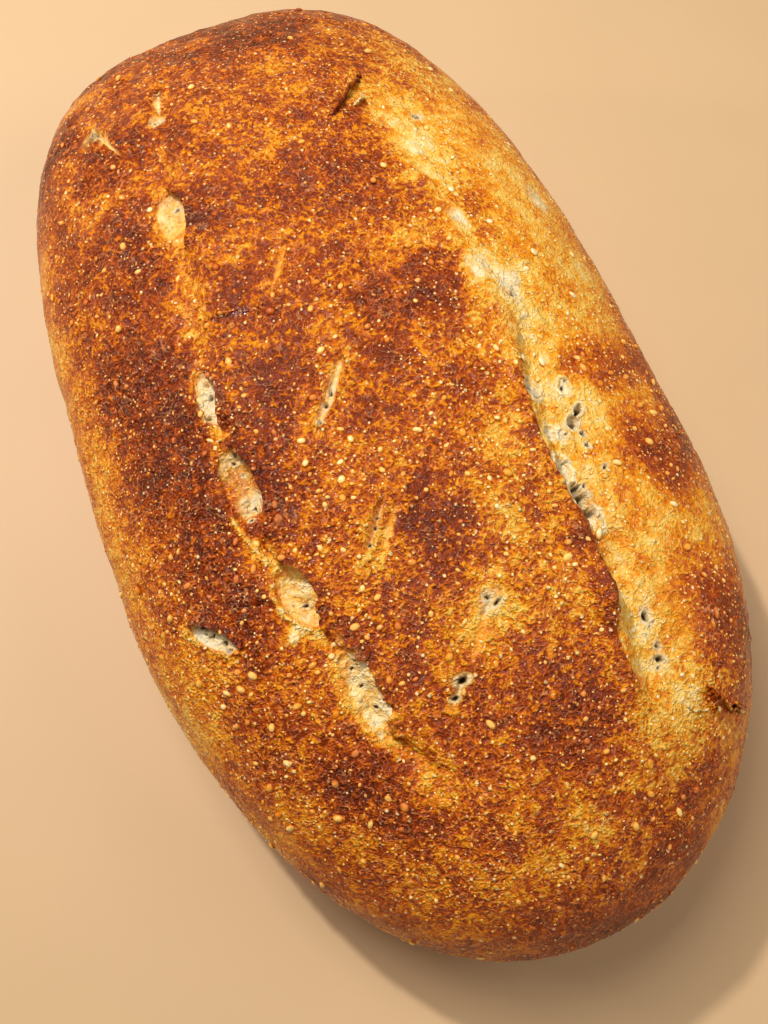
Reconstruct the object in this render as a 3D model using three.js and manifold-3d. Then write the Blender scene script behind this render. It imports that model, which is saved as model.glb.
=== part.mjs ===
// A sourdough loaf: a long oval hearth loaf with a domed, scored crust and a flat base.
// One end is blunt and the other round. Two long scores run along the crown, one down each side, and
// the crust between them is a raised lid. The right score has split wide open along a pale furrow.
// The left score shows as a seam with open pockets, and four short slashes cross the lid.
//
// Units are millimetres. +Z is up, the loaf lies along Y with its blunt end towards +Y, and the origin
// is the middle of the flat base.
import * as THREE from "three";
import { mergeVertices } from "three/addons/utils/BufferGeometryUtils.js";
import Module from "manifold-3d";

const wasm = await Module();
wasm.setup();

// Driving dimensions of the whole loaf.
const LENGTH = 290;
const WIDTH = 160;
const HEIGHT = 78;
const GIRTH_HEIGHT = 27; // how high the widest line round the loaf lies
const WIDEST_Y = -25; // the loaf is widest a little nearer to its round end
const BLUNT_SQUARENESS = 3; // superellipse powers of the outline's two ends
const ROUND_SQUARENESS = 2.04;
const DOME_FULLNESS = 2.25; // superellipse power of the dome's section
const FOOT_SHARE = 0.84; // the flat base's size against the outline
const FOOT_FULLNESS = 2.1;

// How the surface mesh is shared out: the polar angles, in degrees, at which the girth and the rim of
// the base lie on the ball that the surface is drawn from.
const SURFACE_DETAIL = 18;
const GIRTH_POLAR = 112;
const FOOT_POLAR = 140;

// The hand-shaped dough is uneven: each swell is a slow wave of height, [height, wave across, wave along, start].
const SWELLS = [
  [0.9, 0.045, 0.021, 0.6],
  [0.7, -0.03, 0.05, 2.1],
  [0.45, 0.085, -0.035, 4.2],
];
const WAVES_ROUND = [
  [0.008, 3, 0.7],
  [0.006, 5, 2.4],
];

// The long scores, as places [across, along] from the blunt end to the round one.
const RIGHT_SCORE = {
  side: 1,
  line: [[29, 86], [37, 45], [39, 5], [33.5, -40], [32.5, -70], [28, -102]],
  depth: 3.2,
  crustSlope: 2.6, // width of the steep side, under the lid's lip
  flankSlope: 15, // width of the gentle side, towards the flank
  lip: 1.4,
};
const LEFT_SCORE = {
  side: -1,
  line: [[-16, 116], [-30, 61], [-38, 8], [-40, -30], [-31, -78], [-21, -100]],
  depth: 1.5,
  crustSlope: 2.4,
  flankSlope: 6,
  lip: 0.7,
};
const SCORE_FADE = 14; // a score runs out over this length at each end
const LIP_WIDTH = 4.5;

// Open pockets in the crust: [across, along, half length, half width, depth, turn from Y in degrees].
const POCKETS = [
  [-28.5, 60, 7.5, 4.4, 3, 4], // the left score's seam, from the blunt end
  [-38.5, 8, 7.5, 4, 3.2, 6],
  [-40.5, -18, 15.5, 5.8, 4.6, 2],
  [-36.5, -46, 9.5, 5.4, 4.2, -12],
  [-31.5, -71, 12, 4.2, 2.6, -14],
  [-59, -44.5, 7, 3.2, 2.6, -34], // a tear on the left flank
  [41, -30.5, 2.6, 1.9, 3.4, 20], // open holes in the right score's furrow
  [31.5, -41, 3.8, 2.2, 3, 12],
  [33, -51, 6.6, 2.1, 4.6, -18],
  [33.5, -81, 1.7, 1.2, 3, 0],
];

// Short slashes across the lid and near the blunt end, as pockets.
const SLASHES = [
  [-10, 32, 6.6, 1.3, 1.2, 40],
  [-11.5, -3.5, 12, 1.9, 2.2, 40],
  [-14.5, -39, 8.4, 1.5, 2, 40],
  [-4, -72, 11.4, 2, 2, 40],
  [-20.5, 102, 16, 1.2, 1.4, -14],
  [-38.5, 96, 11.5, 1.5, 2.2, 14],
];

// Torn ears of crust that stand proud, in the order of the pockets' values with height for depth,
// and how far each leans outwards, in degrees.
const EARS = [
  [28, 83.5, 9.5, 1.4, 3.4, 51, 34], // where the right score starts
  [27.8, -75, 7.5, 1.8, 2.6, -8, 42], // over the right score, near the round end
  [46.5, -104, 5.4, 1.3, 3.2, 62, 38], // a torn blister low on the right
  [42.5, -104.5, 4, 1.1, 2.6, -14, 32],
  [-31, -50, 6.5, 1.3, 2, -14, -44], // over the last deep pocket of the left seam
];
const LENS_LIFT = 0.15; // a pocket's middle is this share of its depth above the crown
const LENS_SIDES = 12;
const LENS_RINGS = 10;

const CRUST = new THREE.MeshStandardMaterial({ color: 0xb4652a, roughness: 0.55, metalness: 0 });

const radians = THREE.MathUtils.degToRad;
const smooth = THREE.MathUtils.smoothstep;
const bell = (distance, width) => Math.exp(-((distance / width) ** 2));

// Distance from the widest place to the girth line, in a direction turned from +Y towards +X.
function outlineRadius(turn) {
  const along = Math.cos(turn);
  const reach = along > 0 ? LENGTH / 2 - WIDEST_Y : LENGTH / 2 + WIDEST_Y;
  const blunt = THREE.MathUtils.clamp(0.5 + 1.2 * along, 0, 1);
  const power = THREE.MathUtils.lerp(ROUND_SQUARENESS, BLUNT_SQUARENESS, blunt);
  const wave = WAVES_ROUND.reduce((sum, [size, count, start]) => sum + size * Math.sin(count * turn + start), 1);
  const across = Math.abs(Math.sin(turn)) / (WIDTH / 2);
  return wave * (across ** power + (Math.abs(along) / reach) ** power) ** (-1 / power);
}

// The score's place across the loaf at a place along it: smooth steps between the named places.
function scoreAcross(line, along) {
  for (let i = 1; i < line.length; i++) {
    const [[x0, y0], [x1, y1]] = [line[i - 1], line[i]];
    if (along >= y1) return THREE.MathUtils.lerp(x1, x0, smooth(along, y1, y0));
  }
  return line.at(-1)[0];
}

// A long score's furrow and the lip of the lid beside it.
function scoreRelief(score, x, y) {
  const outward = score.side * (x - scoreAcross(score.line, y));
  const [start, end] = [score.line[0][1], score.line.at(-1)[1]];
  const open = smooth(start - y, 0, SCORE_FADE) * smooth(y - end, 0, SCORE_FADE);
  const furrow = bell(outward, outward < 0 ? score.crustSlope : score.flankSlope);
  return open * (score.lip * bell(outward + LIP_WIDTH, LIP_WIDTH) - score.depth * furrow);
}

// What is added to the plain dome at a place on the crown.
function relief(x, y) {
  const swell = SWELLS.reduce((sum, [size, across, along, start]) => sum + size * Math.sin(across * x + along * y + start), 0);
  return swell + scoreRelief(RIGHT_SCORE, x, y) + scoreRelief(LEFT_SCORE, x, y);
}

// The place on the surface for a direction from the ball's centre.
function surfacePoint(direction) {
  const turn = Math.atan2(direction.x, direction.y);
  const polar = THREE.MathUtils.radToDeg(Math.acos(THREE.MathUtils.clamp(direction.z, -1, 1)));
  const radius = outlineRadius(turn);
  let share;
  let z;
  if (polar <= GIRTH_POLAR) {
    const rise = radians((90 * polar) / GIRTH_POLAR);
    share = Math.sin(rise) ** (2 / DOME_FULLNESS);
    z = GIRTH_HEIGHT + (HEIGHT - GIRTH_HEIGHT) * Math.cos(rise) ** (2 / DOME_FULLNESS);
  } else if (polar <= FOOT_POLAR) {
    const fall = radians((90 * (polar - GIRTH_POLAR)) / (FOOT_POLAR - GIRTH_POLAR));
    share = FOOT_SHARE + (1 - FOOT_SHARE) * Math.max(Math.cos(fall), 0) ** (2 / FOOT_FULLNESS);
    z = GIRTH_HEIGHT * (1 - Math.sin(fall) ** (2 / FOOT_FULLNESS));
  } else {
    share = (FOOT_SHARE * (180 - polar)) / (180 - FOOT_POLAR);
    z = 0;
  }
  const x = radius * share * Math.sin(turn);
  const y = WIDEST_Y + radius * share * Math.cos(turn);
  if (polar < GIRTH_POLAR) z += relief(x, y) * smooth(1 - share, 0, 0.12);
  return new THREE.Vector3(x, y, z);
}

// The crown's height at a place, without the pockets.
function crownHeight(x, y) {
  const share = Math.hypot(x, y - WIDEST_Y) / outlineRadius(Math.atan2(x, y - WIDEST_Y));
  const dome = (1 - share ** DOME_FULLNESS) ** (1 / DOME_FULLNESS);
  return GIRTH_HEIGHT + (HEIGHT - GIRTH_HEIGHT) * dome + relief(x, y);
}

// A closed geometry with shared corners, as a solid for joining and cutting.
function solidOf(geometry) {
  const bare = geometry.clone();
  bare.deleteAttribute("normal");
  bare.deleteAttribute("uv");
  const merged = mergeVertices(bare, 1e-4);
  return new wasm.Manifold(
    new wasm.Mesh({
      numProp: 3,
      vertProperties: new Float32Array(merged.attributes.position.array),
      triVerts: new Uint32Array(merged.index.array),
    }),
  );
}

function geometryOf(solid) {
  const mesh = solid.getMesh();
  const geometry = new THREE.BufferGeometry();
  geometry.setAttribute("position", new THREE.BufferAttribute(mesh.vertProperties, 3));
  geometry.setIndex(new THREE.BufferAttribute(mesh.triVerts, 1));
  geometry.computeVertexNormals();
  return geometry;
}

// The uncut loaf: a ball drawn out to the loaf's form.
function loafBody() {
  const geometry = new THREE.IcosahedronGeometry(1, SURFACE_DETAIL);
  const position = geometry.attributes.position;
  const direction = new THREE.Vector3();
  for (let i = 0; i < position.count; i++) {
    direction.fromBufferAttribute(position, i).normalize();
    position.setXYZ(i, ...surfacePoint(direction));
  }
  return solidOf(geometry);
}

// A lens-shaped solid draped over the crown: it follows the crust, raised by a share of its height, and
// leans across its length.
function lens([x, y, halfLength, halfWidth, height, turn], lift, lean = 0) {
  const geometry = new THREE.SphereGeometry(1, LENS_SIDES, LENS_RINGS);
  const position = geometry.attributes.position;
  const [sine, cosine] = [Math.sin(radians(turn)), Math.cos(radians(turn))];
  for (let i = 0; i < position.count; i++) {
    const rise = height * (position.getZ(i) + lift);
    const along = halfLength * position.getY(i);
    const across = halfWidth * position.getX(i) + rise * Math.tan(radians(lean));
    const placeX = x + across * cosine + along * sine;
    const placeY = y - across * sine + along * cosine;
    position.setXYZ(i, placeX, placeY, crownHeight(placeX, placeY) + rise);
  }
  return solidOf(geometry);
}

// Moves and scales the loaf by a hair, so that its box is the named size and stands on the origin.
function settle(geometry) {
  geometry.computeBoundingBox();
  const size = geometry.boundingBox.getSize(new THREE.Vector3());
  const middle = geometry.boundingBox.getCenter(new THREE.Vector3());
  geometry.translate(-middle.x, -middle.y, -geometry.boundingBox.min.z);
  geometry.scale(WIDTH / size.x, LENGTH / size.y, HEIGHT / size.z);
  return geometry;
}

let loaf = loafBody();
for (const place of [...POCKETS, ...SLASHES]) loaf = loaf.subtract(lens(place, LENS_LIFT));
for (const [x, y, halfLength, halfWidth, height, turn, lean] of EARS) {
  loaf = loaf.add(lens([x, y, halfLength, halfWidth, height, turn], 0, lean));
}

const crust = new THREE.Mesh(settle(geometryOf(loaf)), CRUST);
crust.name = "loaf";

const group = new THREE.Group();
group.add(crust);

export default group;
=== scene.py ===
"""Dresses a sourdough loaf: its browned crust with two long scores, the blisters on it and the torn ears.

Lengths of the loaf are worked out in millimetres and written to the meshes in metres. +Z is up, the loaf
lies along Y with its blunt end towards +Y, and the origin is the middle of its flat base. A place on the
crown is given as [across, along], seen from above.
"""
import math
import random

import bmesh
import bpy
import numpy as np
from bpy.props import FloatProperty, FloatVectorProperty, IntProperty, PointerProperty
from mathutils import Euler, Matrix, Vector, noise
from mathutils.bvhtree import BVHTree


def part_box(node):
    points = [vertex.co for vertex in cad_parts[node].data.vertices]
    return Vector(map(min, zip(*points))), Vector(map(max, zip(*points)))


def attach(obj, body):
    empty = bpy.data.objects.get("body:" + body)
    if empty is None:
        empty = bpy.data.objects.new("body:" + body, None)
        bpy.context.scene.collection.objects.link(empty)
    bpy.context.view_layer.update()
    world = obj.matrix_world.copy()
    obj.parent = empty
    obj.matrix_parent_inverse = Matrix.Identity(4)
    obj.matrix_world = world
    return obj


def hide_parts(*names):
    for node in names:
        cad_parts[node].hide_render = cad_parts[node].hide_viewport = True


bl_info = {
    "name": "Sourdough loaf",
    "version": (1, 0, 0),
    "blender": (4, 5, 0),
    "location": "View3D > Sidebar > Loaf",
    "description": "Makes the crust, blisters and ears of a scored sourdough loaf",
    "category": "Add Mesh",
}

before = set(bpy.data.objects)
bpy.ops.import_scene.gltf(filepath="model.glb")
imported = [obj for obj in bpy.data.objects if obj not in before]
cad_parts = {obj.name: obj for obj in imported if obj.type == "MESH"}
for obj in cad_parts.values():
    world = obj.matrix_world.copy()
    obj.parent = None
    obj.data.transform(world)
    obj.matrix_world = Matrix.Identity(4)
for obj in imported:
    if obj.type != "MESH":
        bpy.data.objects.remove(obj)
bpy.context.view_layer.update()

MM = 0.001
BASE_LOW, BASE_HIGH = (np.array(corner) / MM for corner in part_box("loaf"))
WIDTH, LENGTH, HEIGHT = BASE_HIGH - BASE_LOW

# The loaf's form, as its solid has it.
GIRTH_HEIGHT = 27  # how high the widest line round the loaf lies
WIDEST_Y = -25
BLUNT_SQUARENESS, ROUND_SQUARENESS = 3, 2.04
DOME_FULLNESS = 2.25
FOOT_SHARE, FOOT_FULLNESS = 0.84, 2.1
GIRTH_POLAR, FOOT_POLAR = 112, 140
SWELLS = [  # [height, wave across, wave along, start]
    [0.9, 0.045, 0.021, 0.6],
    [0.7, -0.03, 0.05, 2.1],
    [0.45, 0.085, -0.035, 4.2],
]
WAVES_ROUND = [[0.008, 3, 0.7], [0.006, 5, 2.4]]
RIGHT_SCORE = {
    "side": 1,
    "line": [[29, 86], [37, 45], [39, 5], [33.5, -40], [32.5, -70], [28, -102]],
    "depth": 3.2,
    "crust_slope": 2.6,
    "flank_slope": 15,
    "lip": 1.4,
}
LEFT_SCORE = {
    "side": -1,
    "line": [[-16, 116], [-30, 61], [-38, 8], [-40, -30], [-31, -78], [-21, -100]],
    "depth": 1.5,
    "crust_slope": 2.4,
    "flank_slope": 6,
    "lip": 0.7,
}
SCORE_FADE = 14
LIP_WIDTH = 4.5

# Openings in the crust, each [across, along, half length, half width, depth, turn from Y in degrees], and
# how open its crumb is at its far end, in its middle and at its near end, with the browning of the rest
# of its floor.
LEFT_POCKETS = [
    [[-29.2, 61, 8.5, 4.4, 1.4, 4], [0.5, 0.3, 0.1], 0.27],
    [[-38.3, 9.5, 7.5, 3.4, 1.6, 6], [0.5, 1.0, 0.8], 0.36],
    [[-39.4, -17, 12.4, 4.6, 2.8, -2], [0.8, 0, 0], 0.6],
    [[-36.8, -46, 8.4, 4.5, 2.6, -8], [0.2, 0.25, 0.2], 0.18],
    [[-31, -72.6, 11.4, 3.9, 0.6, -4], [0.6, 0.3, 0.2], 0.12],
]
FLANK_TEAR = [[-58.6, -45.6, 7, 2.6, 1.8, -40], [0.9, 0.95, 0.8], 0.3]
CAVITIES = [
    [[33.8, -52, 6, 2.1, 4.4, -8], [1, 0.9, 1], 0.3],
    [[32.6, -42.6, 3.6, 2, 1.4, 4], [1, 1, 1], 0.3],
    [[40.6, -31.8, 1.9, 1.5, 3.4, 30], [1, 1, 1], 0.4],
    [[43.4, -29.4, 2, 1.1, 3, 45], [1, 1, 1], 0.4],
    [[34.4, -21.4, 2.8, 2, 0.8, 10], [1, 1, 1], 0.3],
    [[42.8, -22.6, 2.2, 1.6, 0.8, 12], [1, 1, 1], 0.3],
    [[33.8, -33, 2, 1.3, 0.7, 0], [1, 1, 1], 0.3],
    [[36.6, -34.4, 1.6, 1.2, 0.7, 20], [1, 1, 1], 0.3],
    [[2.4, -64.8, 3.2, 2.4, 0.6, 60], [0.6, 0.7, 0.6], 0.3],
    [[36.4, 14.5, 4, 3.4, 0.3, 20], [0.5, 0.6, 0.5], 0.14],
    [[41, 8, 4.6, 3.2, 0.35, 10], [0.7, 0.8, 0.6], 0.14],
    [[37.4, 30.4, 3.4, 1.6, 0.3, -20], [0.8, 0.7, 0.6], 0.16],
    [[65.2, 35, 5, 3, 0.2, -10], [0.6, 0.7, 0.6], 0.16],
    [[-41.1, -54.3, 1.9, 1.3, -0.8, 40], [0.6, 0.7, 0.6], 0.2],
    [[-39.6, -19.8, 4, 2.8, 0.4, 6], [0.6, 0.8, 0.6], 0.25],
]
SHALLOW = 0.45  # an opening no deeper than this needs no finer mesh
LID_OVER, NO_LID = 1, 0.01  # how much the lid on its inner side hangs over an opening
PORE_COUNT = 60  # tiny holes strewn over the open crumb
# Slashes, each [across, along, half length, half width, depth, turn, crumb, browning of its floor].
SLASHES = [
    [-10.5, 33, 8, 1, 0.8, 36, 0.1, 0.3],
    [-11.4, -4, 11.5, 1.5, 1.6, 40, 0.6, 0.2],
    [-14.6, -38.4, 8, 1, 2.2, 40, 0.5, 0.4],
    [-11.6, -40.4, 7, 1.3, 0.4, 40, 0.1, 0.3],
    [-2.6, -71, 8, 1.3, 0.5, 40, 0.1, 0.36],
    [-12, -80.4, 4.2, 1, 1.4, 46, 0.8, 0.3],
    [-20, 103, 9, 0.6, 0.9, 14, 0.7, 0.16],
    [-37.4, 95, 7.5, 0.6, 1.4, -16, 0.6, 0.24],
]
HOLES = [  # small deep holes: [across, along, radius, depth]
    [35.2, -54, 1.2, 2.6], [34.6, -50, 1, 2.6], [34.4, -47.4, 0.7, 2], [40.4, -32.2, 1.1, 2],
    [43.6, -29.2, 0.9, 2], [41.6, -35.4, 0.6, 1.6], [41.2, -38.4, 0.6, 1.6], [34.4, -21, 0.5, 1.4],
    [42.6, -22.4, 0.6, 1.2], [43, -45, 0.5, 1.2], [36, -81.4, 1, 2.6], [35.6, -88.4, 0.6, 1.4],
    [34.8, -91.2, 0.9, 2], [33.8, -93, 0.5, 1.2], [2.2, -64, 0.7, 1.6], [3.6, -66, 0.5, 1.2],
    [-32.4, -66, 0.45, 1.2], [-31.8, -70.4, 0.35, 1], [-30.6, -76, 0.4, 1], [-39.6, -8.6, 0.5, 1.2],
    [-40.6, -24, 0.4, 1], [-39.4, -21.4, 0.4, 1], [-37, -48.5, 0.5, 1.2], [-38.4, 9.5, 0.6, 1.4],
    [-28, 63.5, 0.5, 1], [-57.4, -48, 0.6, 1.4], [-59.4, -45, 0.5, 1.4], [-61, -41.8, 0.5, 1.2],
    [-11.4, -4, 0.5, 1.4], [-13.6, -6.4, 0.6, 1.4], [-16.6, -10, 0.5, 1.2], [-13.4, -37, 0.3, 1],
    [-14.8, -39, 0.4, 1.2], [-17.4, -42.2, 0.4, 1.2], [-10.4, -78.6, 1, 2.2],
    [-13.4, -81.6, 0.6, 1.4], [-40.2, 101.2, 1, 2.4], [-22.8, 94.9, 0.9, 1.4],
    [43.5, 68.5, 0.8, 1.4], [37.4, 54, 0.5, 1], [40.6, 4.4, 0.6, 1.2],
]
# Cracks and creases of the crust, each a line of places with its depth and half width. A depth below 0
# makes a pale ridge.
CRACKS = [
    [[[-34, 28.4], [-27, 26.6], [-21, 24.6], [-17, 22.4]], 1.8, 0.6],
    [[[-24, 83], [-17.5, 79]], 0.7, 0.5],
    [[[4, -52.5], [16, -57.5], [31, -61]], 0.4, 1],
    [[[-52, -43], [-46, -44], [-41.5, -46.5]], 0.8, 0.7],
    [[[-36.8, 5], [-36.2, -3], [-35.2, -16], [-35.6, -27]], 0.7, 0.6],
    [[[33, 20], [24, 23], [19, 21]], 0.4, 0.8],
    [[[-60, 28], [-55, 12], [-57, -4]], 0.4, 0.9],
    [[[-45, -19], [-43.7, -26], [-41.7, -32.7], [-39.9, -38.1]], -0.8, 0.8],
    [[[-43, -42.1], [-41.3, -49.4], [-35.7, -56.1]], -0.7, 0.7],
]
EAR_THICKNESS = 0.5
EAR_ALONG, EAR_UP = 30, 8  # squares of each ear's mesh
# Torn ears: [across, along, turn, half length, width, lean, curl, browning, crumb].
EARS = [
    [27.6, 80.8, 46, 9, 3.8, 48, 30, 0.86, 0],
    [34.6, 87.2, 24, 2.2, 1.8, 60, 40, 0.8, 0],
    [30.2, 78.4, 47, 3, 2.6, 10, 30, 0.14, 0.15],
    [43, -104, 8, 3.4, 4.2, 20, 60, 0.56, 0],
    [46.6, -105.6, 150, 3.4, 4, 10, 70, 0.46, 0],
    [50, -107.4, 112, 3.8, 3.6, 0, 70, 0.66, 0],
    [50.6, -109, 112, 3, 2.4, 20, 60, 0.2, 0.1],
    [38.6, -105.2, 114, 3, 1, 20, 60, 0.1, 0.2],
    [-32.6, -52.4, -14, 3, 2.2, 150, 30, 0.9, 0],
]
# How far the right score has baked pale, along it: [along, paleness].
PALE_ALONG = [
    [-110, 0], [-101, 0.7], [-92, 1], [-74, 1], [-62, 0.5], [-52, 1], [-14, 0.95], [-2, 0.7],
    [12, 0.5], [24, 0.3], [38, 0.3], [56, 0.5], [78, 0.4], [92, 0],
]
PALE_PATCHES = [  # more of it: [across, along, half width, half length, turn, paleness]
    [38.5, 75, 5, 7, 0, 0.6], [39, 55, 6.5, 15, 0, 0.9], [60, 45, 7, 13, 24, 0.6],
    [37, 28, 4, 8, 0, 0.6], [37, 12, 6, 9, 0, 0.95], [39.6, -6, 6, 8, 0, 0.7], [44, 65, 5, 7, 0, 0.6],
    [35, -79, 4.4, 9, -4, 1], [33.6, -92, 4.6, 8, 0, 1], [33.5, -103, 5, 5, 0, 0.6],
]
PALE_ACROSS = 9.5  # how wide the pale furrow is, towards the flank
CRISP_ALONG = [  # how crisp the lid's edge over the right score is
    [-104, 0.1], [-84, 0.2], [-77, 0.6], [-68, 0.8], [-58, 0.4], [-46, 0.7], [-20, 0.6], [0, 0.2],
    [24, 0], [90, 0],
]
RAGGED_ALONG = [  # how ragged that edge is, in millimetres
    [-104, 1], [-20, 0.5], [0, 1.4], [24, 3.4], [90, 3],
]
EDGE_ALONG = [  # how far that edge lies in from the score's line, in millimetres
    [-104, 0], [-96, 0.5], [-84, 2.6], [-75, 1.9], [-66, 0], [-57, -0.2], [-50, 1.2], [-41, 2.4],
    [-31, 1.6], [-21, 2.2], [-12, 0.4], [-6, -1.2], [4, 0], [20, 0],
]

# Where the oven browned the crust more, or less: [across, along, half width, half length, turn, amount].
# The paler patches near [-24, -96] and [2, -119] are painted highlights for glossy spots, not browning.
BROWNING_AND_GLOSS_PATCHES = [
    [12, 118, 19, 9, 0, 0.38], [-15, 117, 12, 8, 0, 0.16], [-42, 58, 9, 13, 0, 0.24],
    [-20, 57, 6, 7, 0, 0.1], [-12, 56, 14, 8, 0, 0.18], [-52, 14, 12, 36, 4, 0.24],
    [-50, -33, 12, 17, -8, 0.28], [-44, 24, 6, 22, 0, 0.1], [-24, 6, 12, 14, 10, 0.12],
    [-22, 35, 7, 10, 0, 0.2], [-31, -18, 7, 12, 0, 0.2], [21, 14, 15, 8, 0, 0.3],
    [4, 46, 24, 20, 0, 0.06], [-1, -45, 11, 11, 0, 0.24], [8, -93, 16, 13, 10, 0.1],
    [-15, -61, 8, 12, 0, 0.12], [-40, -92, 16, 10, -20, 0.18], [0, -139, 30, 10, 0, 0.22],
    [45, -106, 7, 4, 0, 0.1], [58, -19, 13, 9, 0, 0.52], [61, -41, 12, 12, 0, 0.5],
    [64, -92, 9, 13, 0, 0.22], [-41, 90, 12, 9, 0, 0.14], [27, 126, 13, 8, 0, 0.04],
    [27, -126, 13, 8, 0, 0.12], [25, 60, 7, 15, 0, 0.14], [52, 118, 14, 14, 0, 0.1],
    [-68, -60, 6, 12, 0, -0.02], [2, -10, 12, 10, 0, 0.12], [-54, -112, 14, 16, 0, 0.18],
    [51, -95, 7, 8, 0, 0.2], [-64, -32, 6, 12, 0, 0.08], [58, 0, 24, 92, 0, -0.36],
    [50, 76, 19, 34, 0, -0.1], [-78, -5, 12, 110, 0, -0.18], [-57, -98, 13, 40, -30, -0.18],
    [-9, 36, 4, 11, 40, -0.12], [-12, -4, 4, 14, 40, -0.12], [-15, -39, 3, 10, 38, -0.14],
    [0, -66, 7, 12, 40, -0.16], [-33, 38, 5, 19, 8, -0.02], [2, -119, 22, 12, 0, -0.12],
    [42, -84, 11, 28, 0, -0.28], [31, -108, 15, 9, 0, -0.2], [-26, -91, 5, 14, -24, -0.14],
    [14, -34, 14, 18, 0, -0.08], [64, 36, 9, 9, 0, -0.06], [-52, 112, 14, 16, 0, -0.02],
    [8, 73, 18, 12, 0, -0.12], [-24, 75, 6, 7, 0, -0.14], [-70, 76, 10, 28, 0, 0.04],
    [6, 134, 34, 7, 0, 0.14], [-37, 50, 6, 12, 0, 0.18], [-60, 24, 8, 8, 0, 0.1],
    [-49, -16, 7, 22, 0, 0.14], [-49, -56, 8, 11, 0, 0.16], [47, 30, 8, 12, 0, 0.16],
    [26, -72, 6, 9, 0, -0.1], [23, -24, 8, 9, 0, -0.1], [30, 83, 8, 6, 0, -0.12],
    [-36, -90, 8, 11, 0, 0.16], [-12, -29, 12, 12, 30, -0.12], [51, -78, 8, 13, 0, 0.26],
    [-60, 110, 9, 14, 0, 0.12], [-30, 98, 12, 12, 0, 0.08], [-48, -4, 6, 10, 0, 0.06],
    [-33, -23, 8, 8, 0, 0.12], [10, 8, 12, 9, 0, 0.08], [14, -22, 8, 6, 0, 0.08],
    [-12, -118, 8, 8, 0, 0.1], [-72, -78, 7, 12, 0, 0.14], [22, 32, 16, 8, 0, -0.12],
    [12, -49, 8, 6, 0, -0.1], [47, -30, 6, 11, 0, -0.16], [36, -100, 7, 10, 0, -0.12],
    [2, -119, 8, 7, 0, -0.12], [36, -132, 9, 8, 0, -0.12], [24, 72, 7, 7, 0, 0.08],
    [38, 36, 12, 7, 0, 0.1], [-70, -60, 7, 14, 0, -0.1], [60, 2, 8, 16, 0, 0.12],
    [-50, -72, 8, 8, 0, -0.1], [-60, -62, 6, 12, 0, -0.08], [22, -70, 7, 8, 0, -0.12],
    [0, 2, 8, 8, 0, 0.1], [-34, -24, 8, 8, 0, 0.08], [30, -47, 14, 6, 0, 0.08],
    [-62, 100, 8, 14, 0, 0.14], [-12, -60, 6, 7, 0, -0.08], [60, -72, 6, 7, 0, -0.1],
    [-26, -72, 5, 8, 0, -0.06], [-26, 6, 12, 13, 0, 0.1], [-67, 76, 7, 28, 0, -0.1],
    [-12, 137, 40, 8, 0, 0.12], [-54, 114, 12, 12, 0, 0.1], [62, -88, 6, 13, 0, 0.1],
    [-33.5, 36, 4.5, 16, 6, -0.14], [-58, -76, 10, 14, -20, 0.08], [72, -24, 5, 30, 0, 0.1],
    [36, 110, 12, 8, 0, 0.06], [-24, 110, 8, 8, 0, 0.06], [-48, 0, 8, 30, 0, 0.04],
    [12, 38, 7, 7, 0, -0.08], [0, 24, 7, 7, 0, -0.07], [-24, 13, 6, 7, 0, -0.06],
    [47, -2, 6, 9, 0, -0.12], [45, -26, 8, 12, 0, -0.1], [-24, -12, 6, 7, 0, -0.08],
    [-2, -24, 9, 6, 0, -0.09], [24, -30, 6, 10, 0, -0.1], [-13, -40, 4, 9, 0, -0.1],
    [14, -49, 5, 7, 0, -0.1], [-4, -72, 24, 6, 0, -0.07], [24, -72, 5, 6, 0, -0.06],
    [-24, -96, 5, 6, 0, -0.1], [6, -120, 14, 6, 0, -0.07], [-36, 132, 9, 6, 0, 0.14],
    [12, 132, 9, 5, 0, 0.13], [-49, 113, 7, 10, 0, 0.1], [-48, 4, 7, 14, 0, 0.1],
    [-58, 22, 6, 9, 0, 0.08], [-50, -20, 10, 10, 0, 0.07], [-37, -28, 4, 5, 0, 0.24],
    [-48, 6, 6, 10, 0, 0.1], [-49, -24, 6, 6, 0, 0.07], [-60, 24, 6, 8, 0, 0.09],
    [12, 133, 10, 6, 0, 0.22], [-36, 133, 8, 6, 0, 0.12], [-48, 110, 7, 8, 0, 0.1],
    [24, 108, 7, 7, 0, 0.06], [-18, 84, 10, 6, 0, 0.08], [73, 24, 5, 12, 0, 0.08],
    [73, -24, 5, 8, 0, 0.08], [73, -60, 4, 6, 0, 0.08], [-48, 72, 6, 6, 0, -0.06],
    [-24, 12, 6, 7, 0, -0.06], [24, 24, 6, 7, 0, -0.07], [-12, -42, 5, 9, 0, -0.08],
    [12, -48, 5, 6, 0, -0.07], [60, -30, 7, 9, 0, -0.07], [-8, -62, 12, 6, 0, -0.07],
    [-12, -72, 6, 6, 0, -0.06], [64, -74, 8, 10, 0, -0.08], [32, -132, 10, 7, 0, -0.1],
    [-60, -72, 6, 6, 0, -0.05], [-36, 108, 6, 6, 0, -0.06], [-36, 133, 9, 7, 0, 0.26],
    [12, 133, 10, 7, 0, 0.14], [-48, 109, 8, 9, 0, 0.14], [-60, 72, 6, 12, 0, 0.1],
    [-48, -2, 6, 8, 0, 0.1], [-36, -25, 5, 6, 0, 0.22], [73, -40, 5, 30, 0, 0.07],
    [73, 50, 5, 16, 0, 0.08], [-48, -48, 6, 7, 0, 0.07], [-30, 90, 10, 8, 0, 0.07],
    [-24, 72, 6, 6, 0, -0.06], [-24, 48, 5, 6, 0, -0.06], [30, 84, 9, 5, 0, -0.05],
    [36, -132, 7, 6, 0, -0.06], [-24, 12, 5, 6, 0, -0.05], [-58, 110, 7, 10, 0, 0.12],
    [-48, 0, 6, 8, 0, 0.08], [-40, -92, 9, 8, 0, -0.08], [4, -134, 34, 7, 0, -0.06],
]
EVEN_BROWNING = 0.6  # where none of them is
# The browning from which on it is held back, and by how much it then still rises.
DARKEST, DARK_MARGIN = 0.76, 0.16
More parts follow.
